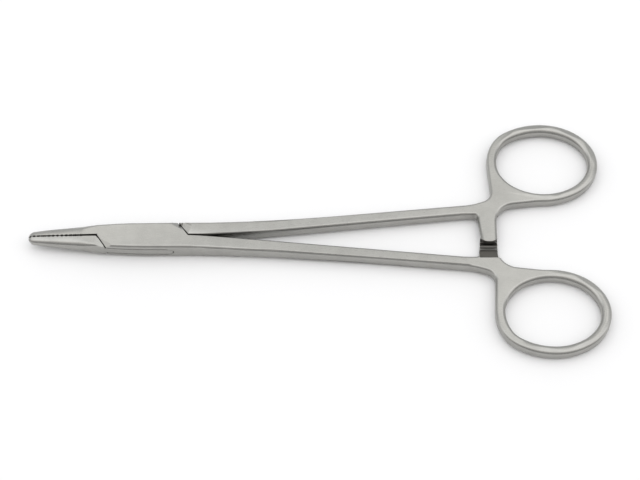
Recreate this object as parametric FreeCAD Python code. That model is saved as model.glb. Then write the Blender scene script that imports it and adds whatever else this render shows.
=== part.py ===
# Surgical needle holder, in millimetres: two forged halves joined in a box lock by one rivet pin.
# X runs from the pivot towards the finger rings, Y across the jaws and Z through the thickness.
# The pivot axis is X = Y = 0 and the box's lower flat face lies on z = 0.
import FreeCAD, Part
import math
import os

os.makedirs("parts", exist_ok=True)
V = FreeCAD.Vector

# Box lock
box_thickness = 5.6
box_half_width = 4.1
box_front = 12.6
box_rear = 12.5
shoulder_angle = 54.0
shoulder_clearance = 0.34
shoulder_bevel = 0.12
shoulder_overlap = 1.0
slot_end = 8.6
tongue_thickness = 2.4
tongue_clearance = 0.10

# Rivet pin
pin_radius = 1.6
pin_running_clearance = 0.03

# Jaws
jaw_tip_x = -32.1
nose_length = 1.7
tip_half_width = 1.6
tip_thickness = 2.4
full_thickness_x = -3.0
full_width_x = 5.0
jaw_gap_at_tip = 0.04
jaw_gap_at_cuts_end = 0.26
jaw_gap_behind_cuts = 0.58
jaw_gap_at_box = 0.64
jaw_crown = 0.14
jaw_round_share = 0.36
jaw_blend_length = 5.0
jaw_lean = 0.0145
jaw_lean_start_x = -1.0

# Cross-cut jaw faces
serration_length = 15.3
serration_pitch = 0.85
serration_depth = 0.28
needle_groove_start = 4.7
needle_groove_length = 7.0
needle_groove_radius = 0.28

# Arms
arm_end_x = 86.0
arm_parting_x = 17.0
arm_gap_at_box = 0.40
arm_end_outer = 9.5
arm_end_inner = 6.25
arm_outer_bow = 1.4
arm_inner_bow = 1.2
handle_thickness = 3.5
edge_round = 1.0
inner_round_at_box = 0.15

# Finger rings
ring_left_x = 97.97
ring_near_y = 12.21
ring_half_length = 14.33
ring_half_width = 11.64
ring_corner_radius = 12.5
ring_full_corner_radius = 8.4
ring_bar_width = 2.75
ring_inner_round = 1.25

# Web between arm, ring and ratchet bar
web_start_x = 91.5
web_start_radius = 15.0
crotch_rise = 2.4
crotch_radius = 3.2
crotch_lean = 3.5
web_side_offset = 2.0
web_side_start_radius = 20.0
web_side_drop = 1.45
web_side_radius = 5.5
inner_bend_x = 89.3
inner_bend_radius = 15.0

# Ratchet
ratchet_root_left = 93.05
ratchet_tip_left = 94.05
ratchet_right = 98.35
ratchet_reach = 2.1
ratchet_end_extra = 1.6
ratchet_end_side = 0.08
ratchet_tip_corner = 2.0
ratchet_root_corner = 0.9
ratchet_land_end = 7.2
ratchet_pitch = 1.28
ratchet_depth = 0.5
ratchet_gap = 0.10
ratchet_tooth_count = 5

# Flats ground on the shoulders' outer corners: three points each, (away from pivot, outward, depth)
box_flat = ((-0.9, 1.1, 0.0), (-4.4, 3.1, 0.0), (-2.9, 3.75, 0.75))
jaw_flat = ((0.1, 0.6, 0.0), (0.95, 2.0, 0.0), (-2.5, 3.75, 0.85))
flat_reach = 3.2
flat_overlap = 0.8

# Rounded edges are three narrow flats, each turned this many degrees from the last
flat_turn = 22.5

# Room that cutting bodies reach past the metal
beyond = 6.0

mid_z = box_thickness / 2
shoulder_slope = math.tan(math.radians(shoulder_angle))
ring_x = ring_left_x + ring_half_length
ring_y = ring_near_y + ring_half_width


def ease_out(fraction, power):
    """Rises from 0 to 1 and flattens towards its end."""
    return 1 - (1 - min(max(fraction, 0.0), 1.0)) ** power


def front_half_width(x):
    """Half the width of the jaws and the box at x."""
    along = (x - jaw_tip_x) / (full_width_x - jaw_tip_x)
    return tip_half_width + (box_half_width - tip_half_width) * ease_out(along, 2.0)


def front_thickness(x):
    """Thickness of the jaws and the box at x."""
    along = (x - jaw_tip_x) / (full_thickness_x - jaw_tip_x)
    return tip_thickness + (box_thickness - tip_thickness) * ease_out(along, 1.4)


def section(x, y_inner, y_outer, thickness, r_inner, r_outer, crown=0):
    """Closed profile across X between two sides, thinner outside by the crown, its corners rounded."""
    low = mid_z - thickness / 2
    high = mid_z + thickness / 2
    points = []
    for y, y_way, z, z_way, first in (
        (y_outer, 1, low + crown, -1, -90),
        (y_outer, 1, high - crown, 1, 0),
        (y_inner, -1, high, 1, 90),
        (y_inner, -1, low, -1, 180),
    ):
        radius = r_outer if y_way > 0 else r_inner
        if radius == 0:
            points.append(V(x, y, z))
            continue
        centre = V(x, y - y_way * radius, z - z_way * radius)
        for i in range(4):
            angle = math.radians(first + flat_turn * (i + 0.5))
            reach = radius / math.cos(math.radians(flat_turn / 2))
            points.append(centre + V(0, math.cos(angle), math.sin(angle)) * reach)
    return Part.makePolygon(points + points[:1])


def lean(x):
    """How far the middle line of the jaws has bent off the long axis at x."""
    return jaw_lean * max(jaw_lean_start_x - x, 0.0)


def front_section(x, way, size=1.0):
    """Profile of one half of the jaws or the box at x, rounder on the jaws and flat on the box."""
    jaw_share = min(max((-box_front - x) / jaw_blend_length, 0.0), 1.0)
    crown = size * jaw_crown * jaw_share
    thickness = size * front_thickness(x)
    corner = size * edge_round * (1 - jaw_share) + jaw_round_share * thickness * jaw_share
    profile = section(x, 0, size * front_half_width(x), thickness, 0, corner, crown)
    if way < 0:
        profile = mirrored(profile)
    profile.translate(V(0, lean(x), 0))
    return profile


def prism(points, z_low, z_high):
    """Upright prism over a polygon of (x, y) corners."""
    corners = [V(x, y, z_low) for x, y in points]
    return Part.Face(Part.makePolygon(corners + corners[:1])).extrude(V(0, 0, z_high - z_low))


def rounded_path(corners, radii):
    """Straight runs through the corners, each inner corner replaced by an arc tangent to its runs."""
    edges = []
    start = corners[0]
    for before, corner, after, radius in zip(corners, corners[1:], corners[2:], radii):
        back = (before - corner).normalize()
        ahead = (after - corner).normalize()
        half_angle = back.getAngle(ahead) / 2
        reach = radius / math.tan(half_angle)
        middle = corner + (back + ahead).normalize() * (radius / math.sin(half_angle) - radius)
        edges.append(Part.makeLine(start, corner + back * reach))
        edges.append(Part.Arc(corner + back * reach, middle, corner + ahead * reach).toShape())
        start = corner + ahead * reach
    edges.append(Part.makeLine(start, corners[-1]))
    return edges


def mirrored(shape):
    """The same shape on the other side of the long axis."""
    return shape.mirror(V(0, 0, 0), V(0, 1, 0))


def turned_over(shape):
    """The same shape turned half round about the long axis, as the other half's handle is."""
    copy = shape.copy()
    copy.rotate(V(0, 0, mid_z), V(1, 0, 0), 180)
    return copy


def front_blank(way):
    """Upper (1) or lower (-1) half of the jaws and the box as forged, from tip to rear shoulder."""
    nose = []
    for part_way in (0.06, 0.25, 0.6, 1.0):
        x = jaw_tip_x + nose_length * part_way
        nose.append(front_section(x, way, math.sqrt(1 - (1 - part_way) ** 2)))
    nose_end = jaw_tip_x + nose_length
    stations = [nose_end + (full_width_x - nose_end) * i / 8 for i in range(9)] + [box_rear]
    body = [front_section(x, way) for x in stations]
    cuts_end = jaw_tip_x + serration_length
    jaw_gap = prism(
        [
            (jaw_tip_x, lean(jaw_tip_x) + way * jaw_gap_at_tip / 2),
            (jaw_tip_x, -way * beyond),
            (-box_front, -way * beyond),
            (-box_front, lean(-box_front) + way * jaw_gap_at_box / 2),
            (cuts_end, lean(cuts_end) + way * jaw_gap_behind_cuts / 2),
            (cuts_end, lean(cuts_end) + way * jaw_gap_at_cuts_end / 2),
        ],
        -beyond,
        box_thickness + beyond,
    )
    return Part.makeLoft(nose + body[1:], True, True).cut(jaw_gap)


def cross_cut(jaw, side):
    """Cuts crossed V grooves and the needle groove into the upper (1) or lower (-1) jaw's inner face."""
    end_x = jaw_tip_x + serration_length
    zone = prism(
        [(jaw_tip_x - 1, -beyond), (end_x, -beyond), (end_x, beyond), (jaw_tip_x - 1, beyond)],
        -beyond,
        box_thickness + beyond,
    )
    half_v = serration_pitch * 0.45
    run = 2 * box_thickness
    step = serration_pitch * math.sqrt(2)
    count = int((serration_length + box_thickness) / step) + 1
    tools = []
    for way in (1, -1):
        along = V(1, 0, way).normalize()
        across = V(way, 0, -1).normalize()
        for i in range(-count // 4, count + 1):
            centre = V(jaw_tip_x + step * (i + 0.5), 0, mid_z)
            valley = centre + V(0, side * serration_depth, 0)
            corners = [centre - across * half_v, centre + across * half_v, valley]
            corners = [corner - along * run / 2 for corner in corners]
            tools.append(Part.Face(Part.makePolygon(corners + corners[:1])).extrude(along * run))
    groove_start = V(jaw_tip_x + needle_groove_start, 0, mid_z)
    tools.append(Part.makeCylinder(needle_groove_radius, needle_groove_length, groove_start, V(1, 0, 0)))
    rise = side * (jaw_gap_at_cuts_end - jaw_gap_at_tip) / 2 + lean(end_x) - lean(jaw_tip_x)
    for tool in tools:
        tool.rotate(V(jaw_tip_x, 0, 0), V(0, 0, 1), math.degrees(math.atan2(rise, serration_length)))
        tool.translate(V(0, lean(jaw_tip_x) + side * jaw_gap_at_tip / 2, 0))
    return jaw.cut(zone).fuse(jaw.common(zone).cut(tools))


def arm_section(fraction):
    """Arm profile from the box (0) to the web (1): thinner, further out and rounder on the way."""
    x = box_rear + (arm_end_x - box_rear) * fraction
    parting = max(0.0, (x - arm_parting_x) / (arm_end_x - arm_parting_x))
    inner = arm_gap_at_box / 2 + (arm_end_inner - arm_gap_at_box / 2) * parting ** arm_inner_bow
    outer = box_half_width + (arm_end_outer - box_half_width) * fraction ** arm_outer_bow
    thickness = box_thickness + (handle_thickness - box_thickness) * ease_out(fraction, 4.0)
    r_inner = inner_round_at_box + (edge_round - inner_round_at_box) * ease_out(fraction, 3.0)
    return section(x, inner, outer, thickness, r_inner, edge_round)


def quarter_radii(corner_radius):
    """Radii of three tangent 30 degree arcs for a quarter of the ring: its side, corner and end."""
    third = math.radians(30)
    near = 1 - math.cos(third)
    middle = math.cos(third) - math.sin(third)
    far = math.sin(third)
    total = (ring_half_length + ring_half_width - 2 * middle * corner_radius) / (near + far)
    difference = (ring_half_length - ring_half_width) / (far - near)
    return [(total + difference) / 2, corner_radius, (total - difference) / 2]


def ring_arcs(offset, turns):
    """Tangent arcs round a finger ring, counter-clockwise from its point nearest the long axis."""
    plain = quarter_radii(ring_corner_radius)
    full = quarter_radii(ring_full_corner_radius)
    point = V(ring_x, ring_y - ring_half_width - offset, 0)
    heading = 0.0
    edges = []
    for centre_radius, turn in zip(plain + plain[::-1] + full + plain[::-1], turns):
        radius = centre_radius + offset
        centre = point + V(-math.sin(heading), math.cos(heading), 0) * radius
        ends = []
        for part_turn in (math.radians(turn) / 2, math.radians(turn)):
            angle = heading + part_turn
            ends.append(centre + V(math.sin(angle), -math.cos(angle), 0) * radius)
        edges.append(Part.Arc(point, ends[0], ends[1]).toShape())
        point = ends[1]
        heading += math.radians(turn)
    return edges


def handle_outline():
    """Outline of web, ring and ratchet bar in the plane, closed by a straight line at the arm's end."""
    ring = ring_arcs(ring_bar_width / 2, [30] * 8 + [30 + crotch_lean])
    nearest = ring[0].Vertexes[0].Point
    ring_end = ring[-1].Vertexes[-1].Point
    outer_slope = (arm_end_outer - box_half_width) * arm_outer_bow / (arm_end_x - box_rear)
    inner_slope = (arm_end_inner - arm_gap_at_box / 2) * arm_inner_bow / (arm_end_x - arm_parting_x)
    outer_start = V(arm_end_x, arm_end_outer, 0)
    inner_start = V(arm_end_x, arm_end_inner, 0)
    web_start = outer_start + V(1, outer_slope, 0) * (web_start_x - arm_end_x)
    crotch_y = arm_end_outer + crotch_rise
    crotch = V(ring_end.x + (ring_end.y - crotch_y) * math.tan(math.radians(crotch_lean)), crotch_y, 0)
    crotch_side = rounded_path([outer_start, web_start, crotch, ring_end], [web_start_radius, crotch_radius])
    inner_bend = inner_start + V(1, inner_slope, 0) * (inner_bend_x - arm_end_x)
    bar_side = rounded_path(
        [
            nearest,
            V(ring_x - web_side_offset, nearest.y, 0),
            V(ratchet_right, nearest.y - web_side_drop, 0),
            V(ratchet_right, -ratchet_reach - ratchet_end_extra, 0),
            V(ratchet_tip_left, -ratchet_reach - ratchet_end_extra, 0),
            V(ratchet_root_left, inner_bend.y, 0),
            inner_bend,
            inner_start,
        ],
        [
            web_side_start_radius,
            web_side_radius,
            ratchet_root_corner,
            ratchet_root_corner,
            ratchet_root_corner,
            inner_bend_radius,
        ],
    )
    return Part.Wire(crotch_side + ring[::-1] + bar_side + [Part.makeLine(inner_start, outer_start)])


def past_bar_end():
    """Everything beyond the round end of the upper ratchet bar, whose edge is left crisp."""
    far_y = -ratchet_reach - beyond
    near_y = 2 * ratchet_tip_corner - ratchet_reach
    left = ratchet_tip_left - ratchet_end_side
    right = ratchet_right + ratchet_end_side
    end_y = -ratchet_reach
    corners = [V(left, near_y, 0), V(left, end_y, 0), V(right, end_y, 0), V(right, near_y, 0)]
    corners[0].x -= (ratchet_tip_left - ratchet_root_left) * 2 * ratchet_tip_corner / ratchet_land_end
    around = [corners[-1], V(right + beyond, near_y, 0), V(right + beyond, far_y, 0)]
    around += [V(left - beyond, far_y, 0), V(left - beyond, near_y, 0), corners[0]]
    edges = rounded_path(corners, [ratchet_tip_corner] * 2)
    edges += [Part.makeLine(start, end) for start, end in zip(around, around[1:])]
    return Part.Face(Part.Wire(edges)).extrude(V(0, 0, 2 * beyond))


def toothed_underside():
    """Everything below the upper ratchet bar: sawteeth whose steep faces look away from the bar's tip."""
    tip_z = mid_z + ratchet_gap / 2
    valley_z = tip_z + ratchet_depth
    first = -ratchet_pitch
    profile = [(first - ratchet_pitch, valley_z)]
    for i in range(ratchet_tooth_count):
        edge_y = first + i * ratchet_pitch
        profile += [(edge_y, tip_z), (edge_y, valley_z)]
    profile += [(ratchet_land_end, valley_z), (ratchet_land_end, -beyond), (profile[0][0], -beyond)]
    start_x = ratchet_root_left + 0.15
    corners = [V(start_x, y, z) for y, z in profile]
    face = Part.Face(Part.makePolygon(corners + corners[:1]))
    return face.extrude(V(ratchet_right - ratchet_root_left + 1.5, 0, 0))


def level_edges(plate, hole, at_rim):
    """Level edges of the plate beyond the arm's end, either round the ring's hole or elsewhere."""
    found = []
    for edge in plate.Edges:
        bounds = edge.BoundBox
        if bounds.ZLength < 1e-6 and bounds.XMax > arm_end_x + 1e-6:
            if (hole.distToShape(edge)[0] < ring_bar_width / 2) == at_rim:
                found.append(edge)
    return found


def rounded(plate, radius, hole, at_rim):
    """The plate with its level edges rounded in three narrow flats, at the hole's rim or elsewhere."""
    half_flat = math.tan(math.radians(flat_turn / 2))
    whole_flat = math.tan(math.radians(flat_turn))
    plate = plate.makeChamfer(radius * (1 - whole_flat), level_edges(plate, hole, at_rim))
    return plate.makeChamfer(radius * (whole_flat - half_flat), level_edges(plate, hole, at_rim))


def handle():
    """The upper handle as one plate: web, finger ring with rounded edges, and toothed ratchet bar."""
    rise = V(0, 0, handle_thickness)
    low_z = mid_z - handle_thickness / 2
    plate = Part.Face(handle_outline()).extrude(rise)
    hole = Part.Face(Part.Wire(ring_arcs(-ring_bar_width / 2, [30] * 12))).extrude(rise)
    plate.translate(V(0, 0, low_z))
    hole.translate(V(0, 0, low_z))
    plate = plate.cut(hole).Solids[0]
    plate = rounded(plate, ring_inner_round, hole, True)
    plate = rounded(plate, edge_round, hole, False)
    return plate.cut([toothed_underside(), past_bar_end()])


def arm(plate):
    """The upper arm, lofted from the box to the end face of the handle plate."""
    end_face = [f for f in plate.Faces if f.BoundBox.XMax < arm_end_x + 1e-6][0]
    centre = end_face.CenterOfMass

    def turn(edge):
        middle = edge.valueAt((edge.FirstParameter + edge.LastParameter) / 2)
        return (math.degrees(math.atan2(middle.z - centre.z, middle.y - centre.y)) + 75) % 360

    last = Part.Wire(sorted(end_face.OuterWire.Edges, key=turn))
    fractions = [0, 0.04, 0.09, 0.15, 0.22, 0.31, 0.42, 0.56, 0.7, 0.85]
    return Part.makeLoft([arm_section(f) for f in fractions] + [last], True, True)


def cross_slot(radius):
    """The slanting slot through the box, or the tongue in it: flat above and below, round at both ends."""
    along = V(box_rear - slot_end, box_half_width, 0).normalize()
    across = V(along.y, -along.x, 0)
    inset = tongue_thickness / 2 + tongue_clearance
    front = across * (-box_front * across.x + inset)
    rear = across * (box_rear * across.x - inset)
    reach = 4 * beyond
    up = V(0, 0, radius)
    middle = V(0, 0, mid_z) - along * reach
    profile = [
        Part.makeLine(middle + front + up, middle + rear + up),
        Part.Arc(middle + rear + up, middle + rear + across * radius, middle + rear - up).toShape(),
        Part.makeLine(middle + rear - up, middle + front - up),
        Part.Arc(middle + front - up, middle + front - across * radius, middle + front + up).toShape(),
    ]
    return Part.Face(Part.Wire(profile)).extrude(along * (2 * reach))


def pin_cylinder(radius):
    """Upright cylinder on the pivot axis through the whole box."""
    return Part.makeCylinder(radius, box_thickness, V(0, 0, 0), V(0, 0, 1))


def behind_front_shoulder(clearance):
    """Everything on the pivot's side of the front shoulder, below the jaws' middle line."""
    x = -box_front + clearance
    low = -beyond
    high = shoulder_overlap
    shoulder = [(x - high / shoulder_slope, high), (x - low / shoulder_slope, low)]
    return prism(shoulder + [(ring_x, low), (ring_x, high)], low, box_thickness - low)


def before_rear_shoulder(clearance):
    """Everything on the pivot's side of the rear shoulder, above the long axis."""
    x = box_rear - clearance
    high = beyond
    corners = [(x, 0), (x - high / shoulder_slope, high), (jaw_tip_x - 1, high), (jaw_tip_x - 1, 0)]
    return prism(corners, -high, box_thickness + high)


def shoulder_grooves():
    """Small V grooves along both shoulders, above and below, that break the edges there."""
    grooves = []
    half_width = shoulder_bevel + shoulder_clearance / 2
    for axis_x, way in ((-box_front, -1), (box_rear, 1)):
        middle_x = axis_x + way * shoulder_clearance / 2
        side_x = middle_x - beyond / shoulder_slope * way
        for face in (1, -1):
            start = V(middle_x, 0, mid_z + face * front_thickness(middle_x) / 2)
            end = V(side_x, way * beyond, mid_z + face * front_thickness(side_x) / 2)
            along = end - start
            across = V(along.y, -along.x, 0).normalize() * (2 * half_width)
            rise = V(0, 0, face * half_width)
            corners = [start + across + rise, start - across + rise, start - rise]
            grooves.append(Part.Face(Part.makePolygon(corners + corners[:1])).extrude(along))
    return grooves


def shoulder_flats(points):
    """Cuts that grind the shoulders' outer corners flat. A point is (away from pivot, outward, depth)."""
    flats = []
    for axis_x, way in ((-box_front, -1), (box_rear, 1)):
        for face in (1, -1):
            corners = []
            for away, outward, depth in points:
                x = axis_x + way * away
                corners.append(V(x, way * outward, mid_z + face * (front_thickness(x) / 2 - depth)))
            along = (corners[1] - corners[0]).normalize()
            down = corners[2] - corners[0]
            down = (down - along * down.dot(along)).normalize() * flat_reach
            start = corners[0] - along * flat_overlap
            end = corners[1] + along * flat_overlap
            outline = Part.makePolygon([start, end, end + down, start + down, start])
            flats.append(Part.Face(outline).extrude(V(0, 0, face * beyond)))
    return flats


upper_front = front_blank(1)
lower_front = front_blank(-1)
upper_handle = handle()
upper_arm = arm(upper_handle)
lower_handle = turned_over(upper_handle)
lower_arm = turned_over(upper_arm)

box_half = cross_cut(upper_front, 1).common(before_rear_shoulder(0))
box_half = box_half.fuse([lower_front.common(behind_front_shoulder(0)), lower_arm, lower_handle])
box_half = box_half.cut([cross_slot(tongue_thickness / 2 + tongue_clearance), pin_cylinder(pin_radius)])
box_half = box_half.cut(shoulder_grooves() + shoulder_flats(box_flat)).removeSplitter()

tongue = upper_front.fuse(lower_front).common(cross_slot(tongue_thickness / 2))
lower_jaw = cross_cut(lower_front, -1).cut(behind_front_shoulder(-shoulder_clearance))
arm_root = upper_front.cut(before_rear_shoulder(-shoulder_clearance))
tongue_half = lower_jaw.fuse([arm_root, upper_arm, upper_handle, tongue])
tongue_half = tongue_half.cut(pin_cylinder(pin_radius + pin_running_clearance))
tongue_half = tongue_half.cut(shoulder_grooves() + shoulder_flats(jaw_flat)).removeSplitter()

rivet_pin = pin_cylinder(pin_radius)

for name, shape in (("box_half", box_half), ("tongue_half", tongue_half), ("rivet_pin", rivet_pin)):
    print(name, "valid", shape.isValid(), "solids", len(shape.Solids), "mm3", round(shape.Volume, 2))
    shape.exportStep("parts/" + name + ".step")
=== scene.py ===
# %% [markdown]
# A surgical needle holder in satin stainless steel, lying closed on a pale table.
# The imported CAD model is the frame: it holds the two forged halves and the rivet pin, each in its place.
# This script dresses those three pieces in ground steel, lights them like a small studio
# and looks at them from the photograph's place.

# %% Load the frame
import math

import bmesh
import bpy
import numpy as np
from mathutils import Matrix, Vector


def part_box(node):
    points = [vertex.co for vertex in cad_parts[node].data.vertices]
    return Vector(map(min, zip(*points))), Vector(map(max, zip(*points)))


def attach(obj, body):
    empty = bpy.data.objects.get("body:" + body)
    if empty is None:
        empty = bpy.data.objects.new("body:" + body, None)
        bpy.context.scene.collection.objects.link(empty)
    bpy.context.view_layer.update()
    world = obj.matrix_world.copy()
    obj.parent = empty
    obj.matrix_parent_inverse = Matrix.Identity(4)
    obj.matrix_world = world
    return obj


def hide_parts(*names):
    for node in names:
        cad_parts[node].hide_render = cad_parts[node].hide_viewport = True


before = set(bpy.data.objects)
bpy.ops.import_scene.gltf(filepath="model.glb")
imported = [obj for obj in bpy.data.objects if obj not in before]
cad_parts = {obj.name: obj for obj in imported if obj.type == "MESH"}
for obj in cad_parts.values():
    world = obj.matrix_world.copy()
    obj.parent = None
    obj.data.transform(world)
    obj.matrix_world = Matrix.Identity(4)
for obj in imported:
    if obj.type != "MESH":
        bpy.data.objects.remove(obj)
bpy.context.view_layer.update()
scene = bpy.context.scene
scene.view_settings.view_transform = "Standard"
mm = 0.001
print("CAD pieces:", sorted(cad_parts))

# %% [markdown]
# The camera stands in front of the instrument and looks down on it at 60 degrees.
# A long lens keeps the arms almost parallel, as they are in a product picture.
# The place was fitted to known points of the instrument, so the numbers below are real lengths and angles.

# %% Camera
camera_elevation = math.radians(60.0)
camera_distance = 465.4 * mm
camera_roll = math.radians(-1.05)
camera_turn = math.radians(0.91)
camera_clip_start = 10.0 * mm
look_at = Vector((49.15 * mm, 0.38 * mm, 0.0))
focal_length_mm = 93.5
sensor_width_mm = 36.0


def camera_matrix():
    """Axes of a camera on a sphere about look_at, rolled about its line of sight, then turned about Z."""
    right = Vector((1, 0, 0))
    up = Vector((0, math.sin(camera_elevation), math.cos(camera_elevation)))
    back = Vector((0, -math.cos(camera_elevation), math.sin(camera_elevation)))
    rolled_right = math.cos(camera_roll) * right + math.sin(camera_roll) * up
    rolled_up = math.cos(camera_roll) * up - math.sin(camera_roll) * right
    axes = Matrix((rolled_right, rolled_up, back)).transposed().to_4x4()
    placed = Matrix.Translation(look_at + back * camera_distance) @ axes
    return Matrix.Rotation(camera_turn, 4, "Z") @ placed


camera_data = bpy.data.cameras.new("camera")
camera_data.lens = focal_length_mm
camera_data.sensor_width = sensor_width_mm
camera_data.clip_start = camera_clip_start
camera = bpy.data.objects.new("camera", camera_data)
camera.matrix_world = camera_matrix()
scene.collection.objects.link(camera)
scene.camera = camera
print("camera at", [round(value, 4) for value in camera.matrix_world.translation])

# %% [markdown]
# Metal shows what stands round it, so the light matters as much as the steel.
# The sky is a tunnel of soft light along the instrument: its colour depends only on the angle
# round the X axis, from the front horizon (0) over the zenith (90) to the back horizon (180 degrees).
# It is brightest overhead, which keeps the shadow close to the metal, and dim towards the front horizon.
# Faces that look up then shine evenly, while the front walls go darker, as in the photograph.

# %% Soft sky
half_turn = 180.0
sky_stops = [
    (0.0, (0.40, 0.40, 0.41)),
    (34.0, (0.50, 0.495, 0.49)),
    (60.0, (0.98, 0.96, 0.94)),
    (82.0, (1.70, 1.70, 1.70)),
    (98.0, (1.74, 1.75, 1.77)),
    (118.0, (0.82, 0.83, 0.83)),
    (142.0, (0.80, 0.81, 0.815)),
    (162.0, (0.78, 0.79, 0.80)),
    (173.0, (0.80, 0.81, 0.82)),
    (half_turn, (0.70, 0.71, 0.73)),
]


def add_node(tree, kind, **values):
    """Adds a shader node and sets its properties and, by socket name, its unlinked inputs."""
    node = tree.nodes.new(kind)
    for name, value in values.items():
        if hasattr(node, name):
            setattr(node, name, value)
        else:
            node.inputs[name.replace("_", " ")].default_value = value
    return node


def make_sky():
    """World whose colour follows the stops above, at the angle atan2(z, -y) of the line of sight."""
    world = bpy.data.worlds.new("sky")
    scene.world = world
    world.use_nodes = True
    tree = world.node_tree
    tree.nodes.clear()
    place = add_node(tree, "ShaderNodeTexCoord")
    parts = add_node(tree, "ShaderNodeSeparateXYZ")
    tree.links.new(place.outputs["Generated"], parts.inputs[0])
    forward = add_node(tree, "ShaderNodeMath", operation="MULTIPLY")
    forward.inputs[1].default_value = -1.0
    tree.links.new(parts.outputs["Y"], forward.inputs[0])
    angle = add_node(tree, "ShaderNodeMath", operation="ARCTAN2")
    tree.links.new(parts.outputs["Z"], angle.inputs[0])
    tree.links.new(forward.outputs[0], angle.inputs[1])
    part_of_half_turn = add_node(tree, "ShaderNodeMath", operation="DIVIDE", use_clamp=True)
    part_of_half_turn.inputs[1].default_value = math.pi
    tree.links.new(angle.outputs[0], part_of_half_turn.inputs[0])
    colours = add_node(tree, "ShaderNodeValToRGB")
    ramp = colours.color_ramp
    for degrees, _ in sky_stops[1:-1]:
        ramp.elements.new(degrees / half_turn)
    for element, (degrees, colour) in zip(ramp.elements, sky_stops):
        element.position = degrees / half_turn
        element.color = colour + (1.0,)
    tree.links.new(part_of_half_turn.outputs[0], colours.inputs["Fac"])
    light = add_node(tree, "ShaderNodeBackground")
    tree.links.new(colours.outputs["Color"], light.inputs["Color"])
    output = add_node(tree, "ShaderNodeOutputWorld")
    tree.links.new(light.outputs[0], output.inputs["Surface"])


def floor_level(samples=721):
    """How bright the sky makes a flat white floor: half the integral of its green times sin(angle)."""
    degrees = np.linspace(0.0, half_turn, samples)
    stop_degrees, stop_colours = zip(*sky_stops)
    green = np.interp(degrees, stop_degrees, np.array(stop_colours)[:, 1])
    angles = np.radians(degrees)
    return float(np.trapz(green * np.sin(angles), angles)) / 2


make_sky()
print("sky's light level on the floor:", round(floor_level(), 3))

# %% [markdown]
# Two soft lamps stand where the box and the finger rings mirror them, which makes both a little brighter
# than the arms between them, as in the photograph.

# %% Soft lamps
lamp_colour = (1.0, 0.975, 0.94)
# Place in metres, width in metres and power in watts
lamps = {
    "lamp_over_box": (Vector((-0.22, 0.60, 0.78)), 0.42, 0.44),
    "lamp_over_rings": (Vector((0.34, 0.46, 0.86)), 0.38, 0.38),
}


def soft_lamp(name, place, width, watts):
    """A square area lamp that faces the middle of the instrument."""
    data = bpy.data.lights.new(name, "AREA")
    data.shape = "SQUARE"
    data.size = width
    data.energy = watts
    data.color = lamp_colour
    lamp = bpy.data.objects.new(name, data)
    lamp.rotation_mode = "QUATERNION"
    lamp.rotation_quaternion = (place - look_at).to_track_quat("Z", "Y")
    lamp.location = place
    scene.collection.objects.link(lamp)


for lamp_name, (lamp_place, lamp_width, lamp_watts) in lamps.items():
    soft_lamp(lamp_name, lamp_place, lamp_width, lamp_watts)
    print(lamp_name, "at", tuple(lamp_place))

# %% [markdown]
# The table is one large sheet, so white that only the instrument's shadow shows on it.
# The instrument rests on the box's rear edge and on the far ends of its rings,
# and the sheet leans by about half a degree to touch both.

# %% Table
rings_end_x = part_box("box_half")[1].x
ring_rise = 1.05 * mm
box_edge_x = 12.5 * mm
table_tilt = math.atan2(ring_rise, rings_end_x - box_edge_x)
table_half_size = 6.0
table_white = (0.90, 0.90, 0.905, 1.0)
table_roughness = 0.9


def make_table():
    """A flat square sheet, z = (x - box_edge_x) tan(tilt), far wider than the picture."""
    corners = np.array([(-1, -1), (1, -1), (1, 1), (-1, 1)], float) * table_half_size
    heights = (corners[:, :1] - box_edge_x) * math.tan(table_tilt)
    mesh = bpy.data.meshes.new("table")
    mesh.from_pydata(np.hstack([corners, heights]).tolist(), [], [(0, 1, 2, 3)])
    table = bpy.data.objects.new("table", mesh)
    scene.collection.objects.link(table)
    material = bpy.data.materials.new("pale_table")
    material.use_nodes = True
    shader = material.node_tree.nodes["Principled BSDF"]
    shader.inputs["Base Color"].default_value = table_white
    shader.inputs["Roughness"].default_value = table_roughness
    shader.inputs["Specular IOR Level"].default_value = 0.0
    mesh.materials.append(material)


make_table()
print("table tilt", round(math.degrees(table_tilt), 2), "degrees")

# %% [markdown]
# Surgical steel is ground with fine belts and then blasted or brushed to a satin that doesn't dazzle.
# It is a metal with medium roughness. Fine streaks run along the instrument where the belt went,
# as faint scratches and as changes of gloss, and a slight cloudiness breaks up the reflections.

# %% Satin steel
steel_colour = (0.385, 0.381, 0.362, 1.0)
steel_roughness = 0.29
roughness_swing = 0.07
streaks_per_metre = (400.0, 9000.0, 9000.0)
clouds_per_metre = 260.0
cloud_noise_range = (0.3, 0.7)
cloud_tone_range = (0.94, 1.04)
scratch_strength = 0.12
scratch_depth = 0.02 * mm
# Numbers of the sockets that a Mix node uses for colours
mix_factor, mix_first, mix_second, mix_result = 0, 6, 7, 2


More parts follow.
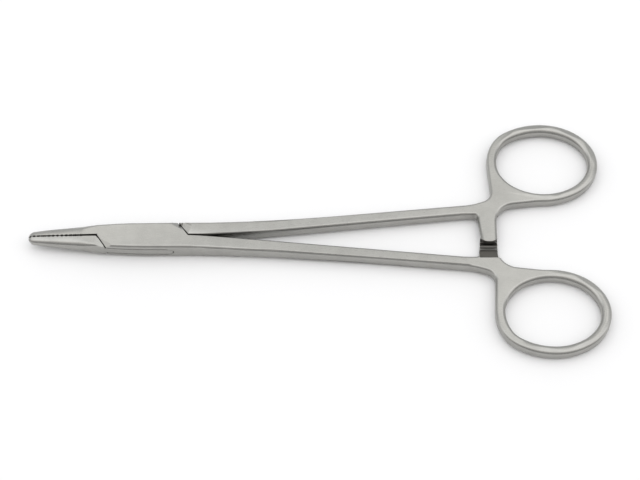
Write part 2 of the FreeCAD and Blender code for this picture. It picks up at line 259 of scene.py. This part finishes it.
def satin_steel(name, colour, roughness, streak_turn=0.0):
    """Metal whose gloss and bump follow noise stretched along the streaks, plus a little cloudiness."""
    material = bpy.data.materials.new(name)
    material.use_nodes = True
    tree = material.node_tree
    shader = tree.nodes["Principled BSDF"]
    shader.inputs["Metallic"].default_value = 1.0
    place = add_node(tree, "ShaderNodeTexCoord")
    stretch = add_node(tree, "ShaderNodeMapping", Scale=streaks_per_metre)
    stretch.inputs["Rotation"].default_value = (0.0, 0.0, streak_turn)
    tree.links.new(place.outputs["Object"], stretch.inputs["Vector"])
    streaks = add_node(tree, "ShaderNodeTexNoise", Scale=1.0, Detail=3.0, Roughness=0.6)
    tree.links.new(stretch.outputs[0], streaks.inputs["Vector"])
    clouds = add_node(tree, "ShaderNodeTexNoise", Scale=clouds_per_metre, Detail=4.0, Roughness=0.55)
    tree.links.new(place.outputs["Object"], clouds.inputs["Vector"])
    tone = add_node(tree, "ShaderNodeMapRange")
    tone.inputs["From Min"].default_value, tone.inputs["From Max"].default_value = cloud_noise_range
    tone.inputs["To Min"].default_value, tone.inputs["To Max"].default_value = cloud_tone_range
    tree.links.new(clouds.outputs["Fac"], tone.inputs["Value"])
    paint = add_node(tree, "ShaderNodeMix", data_type="RGBA", blend_type="MULTIPLY")
    paint.inputs[mix_factor].default_value = 1.0
    paint.inputs[mix_first].default_value = colour
    tree.links.new(tone.outputs[0], paint.inputs[mix_second])
    tree.links.new(paint.outputs[mix_result], shader.inputs["Base Color"])
    gloss = add_node(tree, "ShaderNodeMapRange")
    gloss.inputs["To Min"].default_value = roughness - roughness_swing
    gloss.inputs["To Max"].default_value = roughness + roughness_swing
    tree.links.new(streaks.outputs["Fac"], gloss.inputs["Value"])
    tree.links.new(gloss.outputs[0], shader.inputs["Roughness"])
    bump = add_node(tree, "ShaderNodeBump", Strength=scratch_strength, Distance=scratch_depth)
    tree.links.new(streaks.outputs["Fac"], bump.inputs["Height"])
    tree.links.new(bump.outputs[0], shader.inputs["Normal"])
    return material


forged_steel = satin_steel("satin_steel", steel_colour, steel_roughness)
print("steel colour", steel_colour[:3])

# %% [markdown]
# Where the wheel can't reach, the steel stays as the cutter and the hardening left it, duller: in the
# milled step of the ratchet with its teeth, and on the ends of its two bars.
# Its colour there is also painted much darker, as painted shade of that recess.
# The faces inside the box lock get the same dull gloss and a dark colour that is painted shade between the
# two halves, which makes the seams of the lock dark lines.
# The cross-cut jaw faces are grey for the same reason, and the same grey on the outermost tooth of the
# ratchet is a painted highlight.

# %% Milled steel and painted shade
# Painted shade: the milled step and the bar ends are coloured far darker than steel, for the shade in the
# recess.
milled_and_shaded_colour = (0.098, 0.094, 0.086, 1.0)
milled_roughness = 0.48
milling_turn = math.radians(90)
# This grey is also a painted highlight on the outermost tooth of the ratchet.
jaw_face_and_tooth_highlight_colour = (0.30, 0.295, 0.285, 1.0)
jaw_face_roughness = 0.40
# Painted shade: the faces inside the lock are coloured nearly black for the shade between the halves.
lock_shade_colour = (0.10, 0.096, 0.088, 1.0)
milled_and_shaded_steel = satin_steel("milled_and_shaded_steel", milled_and_shaded_colour, milled_roughness, milling_turn)
lock_shade_steel = satin_steel("lock_shade_steel", lock_shade_colour, milled_roughness)
jaw_face_and_tooth_highlight_steel = satin_steel("jaw_face_and_tooth_highlight_steel", jaw_face_and_tooth_highlight_colour, jaw_face_roughness)
print("milled steel colour", milled_and_shaded_colour[:3])

# %% [markdown]
# Each face of the two halves takes one of the four steels, by its place and by its direction.
# The lock is the same after half a turn and the two arms mirror each other,
# so most places are given by their distance from the middle.
# A lean is the size of one part of a face's unit normal: 1 is a face that looks straight along that axis.

# %% Which faces are which
ground, milled_and_shaded, jaw_face_and_tooth_highlight, painted_lock_shade = range(4)
steels = [forged_steel, milled_and_shaded_steel, jaw_face_and_tooth_highlight_steel, lock_shade_steel]
middle_z = 2.8 * mm
shoulder_normal = Vector((0.809, 0.588, 0.0))
shoulder_match = 0.99
lock_half_length = 12.4 * mm
lock_wall_y = 2.4 * mm
lock_wall_lean = 0.8
slot_half_height = 1.34 * mm
jaw_start_x = -12.6 * mm
jaw_face_y = 0.75 * mm
jaw_face_lean_y = 0.3
jaw_face_lean_z = 0.8
ratchet_left, ratchet_right = 92.9 * mm, 99.4 * mm
ratchet_land_y = 7.25 * mm
ratchet_half_height = 0.62 * mm
ratchet_lean = 0.5
bar_end_y = 3.0 * mm
bar_end_lean_y = 0.3
first_tooth_y = (2.6 * mm, 4.0 * mm)
tooth_side_lean = 0.9
shoulder_flats_x = (7.5 * mm, 15.0 * mm)
shoulder_flat_lean_x = 0.12
shoulder_flat_lean_z = 0.5


def is_on_shoulder(normal):
    """True for a normal of the shoulder planes, where the two halves meet in the slanting seams."""
    return abs(normal.dot(shoulder_normal)) > shoulder_match


def face_kind(centre, normal):
    """Number of the steel that a face is made of.

    The steep sides of the teeth are left out of the painted shade of the step and keep the ground steel,
    and the outermost tooth's slope takes the grey of the jaw faces as a painted highlight.
    """
    side = abs(centre.y)
    height = abs(centre.z - middle_z)
    lean_x, lean_y, lean_z = (abs(part) for part in normal)
    if ratchet_left < centre.x < ratchet_right:
        in_step = side < ratchet_land_y and height < ratchet_half_height and lean_x < ratchet_lean
        at_end = side < bar_end_y and lean_z < ratchet_lean and lean_y > bar_end_lean_y
        if in_step and side < first_tooth_y[1]:
            if lean_y > tooth_side_lean:
                return ground
            # Painted highlight on the outermost tooth's slope.
            if side > first_tooth_y[0]:
                return jaw_face_and_tooth_highlight
        # Painted shade on the rest of the step and on the bar ends.
        return milled_and_shaded if in_step or at_end else ground
    if centre.x < jaw_start_x:
        is_cut = side < jaw_face_y and lean_y > jaw_face_lean_y and lean_z < jaw_face_lean_z
        return jaw_face_and_tooth_highlight if is_cut else ground
    if abs(centre.x) > lock_half_length:
        return ground
    # Painted shade on the shoulder planes and on the faces inside the slot.
    if is_on_shoulder(normal):
        return painted_lock_shade
    on_wall = side > lock_wall_y and lean_y > lock_wall_lean
    return painted_lock_shade if height < slot_half_height and not on_wall else ground


def is_shoulder_flat(face):
    """True for the slanting flats ground on the shoulders' outer corners."""
    near = shoulder_flats_x[0] < abs(face.calc_center_median().x) < shoulder_flats_x[1]
    lean_x, _, lean_z = (abs(part) for part in face.normal)
    return near and lean_x > shoulder_flat_lean_x and lean_z > shoulder_flat_lean_z


# %% [markdown]
# The CAD halves have the true shape, but each face comes as loose triangles with hard borders.
# A merged copy with smooth shading across shallow corners looks forged and ground in one piece,
# and a small bevel on the sharp corners catches the light as a real broken edge does.
# The flats ground on the lock's shoulders keep their crisp borders, and the rivet pin, which is ground
# flush with the box, gets no bevel, because on the real instrument it can hardly be seen.
# The jaws and the finger rings are rounder than the flat arms, so their shading blends right across.

# %% Forged halves
merge_distance = 0.002 * mm
flat_angle = math.radians(1.0)
crease_angle = math.radians(5.0)
sharp_angle = math.radians(32.0)
jaw_sharp_angle = math.radians(50.0)
edge_break = 0.09 * mm
slot_edge_break = 0.15 * mm
bevel_segments = 2
serrated_end_x = -16.6 * mm
pin_zone = 2.0 * mm
seam_corner_x = 12.5 * mm
seam_corner_reach = (0.3 * mm, 0.5 * mm)
flat_parts_x = (-15.0 * mm, 104.0 * mm)
web_corner = (114.0 * mm, 17.0 * mm)


def is_flat_part(place):
    """True on the box, the arms and the webs; the jaws and the ring bars are round."""
    beside_web = place.x < web_corner[0] and abs(place.y) < web_corner[1]
    return place.x > flat_parts_x[0] and (place.x < flat_parts_x[1] or beside_web)


def at_seam_corner(edge):
    """True where a shoulder seam meets the gap between jaws or arms, and a bevel would fold over."""
    reach_x, reach_y = seam_corner_reach
    ends = [vertex.co for vertex in edge.verts]
    return any(abs(abs(end.x) - seam_corner_x) < reach_x and abs(end.y) < reach_y for end in ends)


def at_slot_mouth(edge):
    """True for an edge between a side wall of the lock and the slot that the tongue fills."""
    faces = list(edge.link_faces)
    kinds = sorted(face.material_index for face in faces)
    ground_faces = [face for face in faces if face.material_index == ground]
    on_wall = any(abs(face.normal.y) > lock_wall_lean for face in ground_faces)
    beside_shoulder = any(is_on_shoulder(face.normal) for face in faces)
    return kinds == [ground, painted_lock_shade] and on_wall and not beside_shoulder


def finish_edge(edge, weights, bevelled):
    """Makes an edge smooth or sharp and gives it its bevel, as a part of the widest one."""
    angle = edge.calc_face_angle()
    at_flat = any(is_shoulder_flat(face) for face in edge.link_faces)
    on_jaw = max(vertex.co.x for vertex in edge.verts) < jaw_start_x
    on_jaw_face = any(face.material_index == jaw_face_and_tooth_highlight for face in edge.link_faces)
    limit = jaw_sharp_angle if on_jaw and not on_jaw_face else sharp_angle
    edge.smooth = angle < limit and not (at_flat and angle > crease_angle)
    in_teeth = min(vertex.co.x for vertex in edge.verts) < serrated_end_x
    at_pin = max(vertex.co.xy.length for vertex in edge.verts) < pin_zone
    kept_sharp = in_teeth or at_pin or at_flat or at_seam_corner(edge)
    if bevelled and angle > sharp_angle and not kept_sharp:
        edge[weights] = 1.0 if at_slot_mouth(edge) else edge_break / slot_edge_break


def merged_mesh(node_name, materials, bevelled):
    """Copy of a CAD node's mesh with its triangles merged and its faces and edges marked."""
    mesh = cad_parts[node_name].data.copy()
    mesh.name = node_name + "_forging"
    shell = bmesh.new()
    shell.from_mesh(mesh)
    bmesh.ops.remove_doubles(shell, verts=shell.verts, dist=merge_distance)
    bmesh.ops.dissolve_degenerate(shell, edges=shell.edges, dist=merge_distance)
    bmesh.ops.dissolve_limit(shell, angle_limit=flat_angle, verts=shell.verts, edges=shell.edges)
    shell.normal_update()
    weights = shell.edges.layers.float.new("bevel_weight_edge")
    for face in shell.faces:
        face.smooth = True
        if len(materials) > 1:
            face.material_index = face_kind(face.calc_center_median(), face.normal)
    for edge in shell.edges:
        if len(edge.link_faces) == 2:
            finish_edge(edge, weights, bevelled)
    mesh.materials.clear()
    for material in materials:
        mesh.materials.append(material)
    shell.to_mesh(mesh)
    shell.free()
    return mesh


def forged_copy(node_name, materials, bevelled=True):
    """Merged, smooth-shaded copy of a CAD node with its sharp corners slightly rounded."""
    mesh = merged_mesh(node_name, materials, bevelled)
    piece = bpy.data.objects.new(node_name + "_forging", mesh)
    scene.collection.objects.link(piece)
    bevel = piece.modifiers.new("broken_edges", "BEVEL")
    bevel.limit_method = "WEIGHT"
    bevel.width = slot_edge_break
    bevel.segments = bevel_segments
    bevel.use_clamp_overlap = False
    flat_parts = piece.vertex_groups.new(name="flat_parts")
    flat_parts.add([vertex.index for vertex in mesh.vertices if is_flat_part(vertex.co)], 1.0, "ADD")
    normals = piece.modifiers.new("face_normals", "WEIGHTED_NORMAL")
    normals.keep_sharp = True
    normals.vertex_group = flat_parts.name
    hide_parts(node_name)
    print(node_name, len(mesh.polygons), "faces after merging")
    return piece


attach(forged_copy("box_half", steels), "box_side")
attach(forged_copy("tongue_half", steels), "tongue_side")
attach(forged_copy("rivet_pin", [forged_steel], bevelled=False), "box_side")
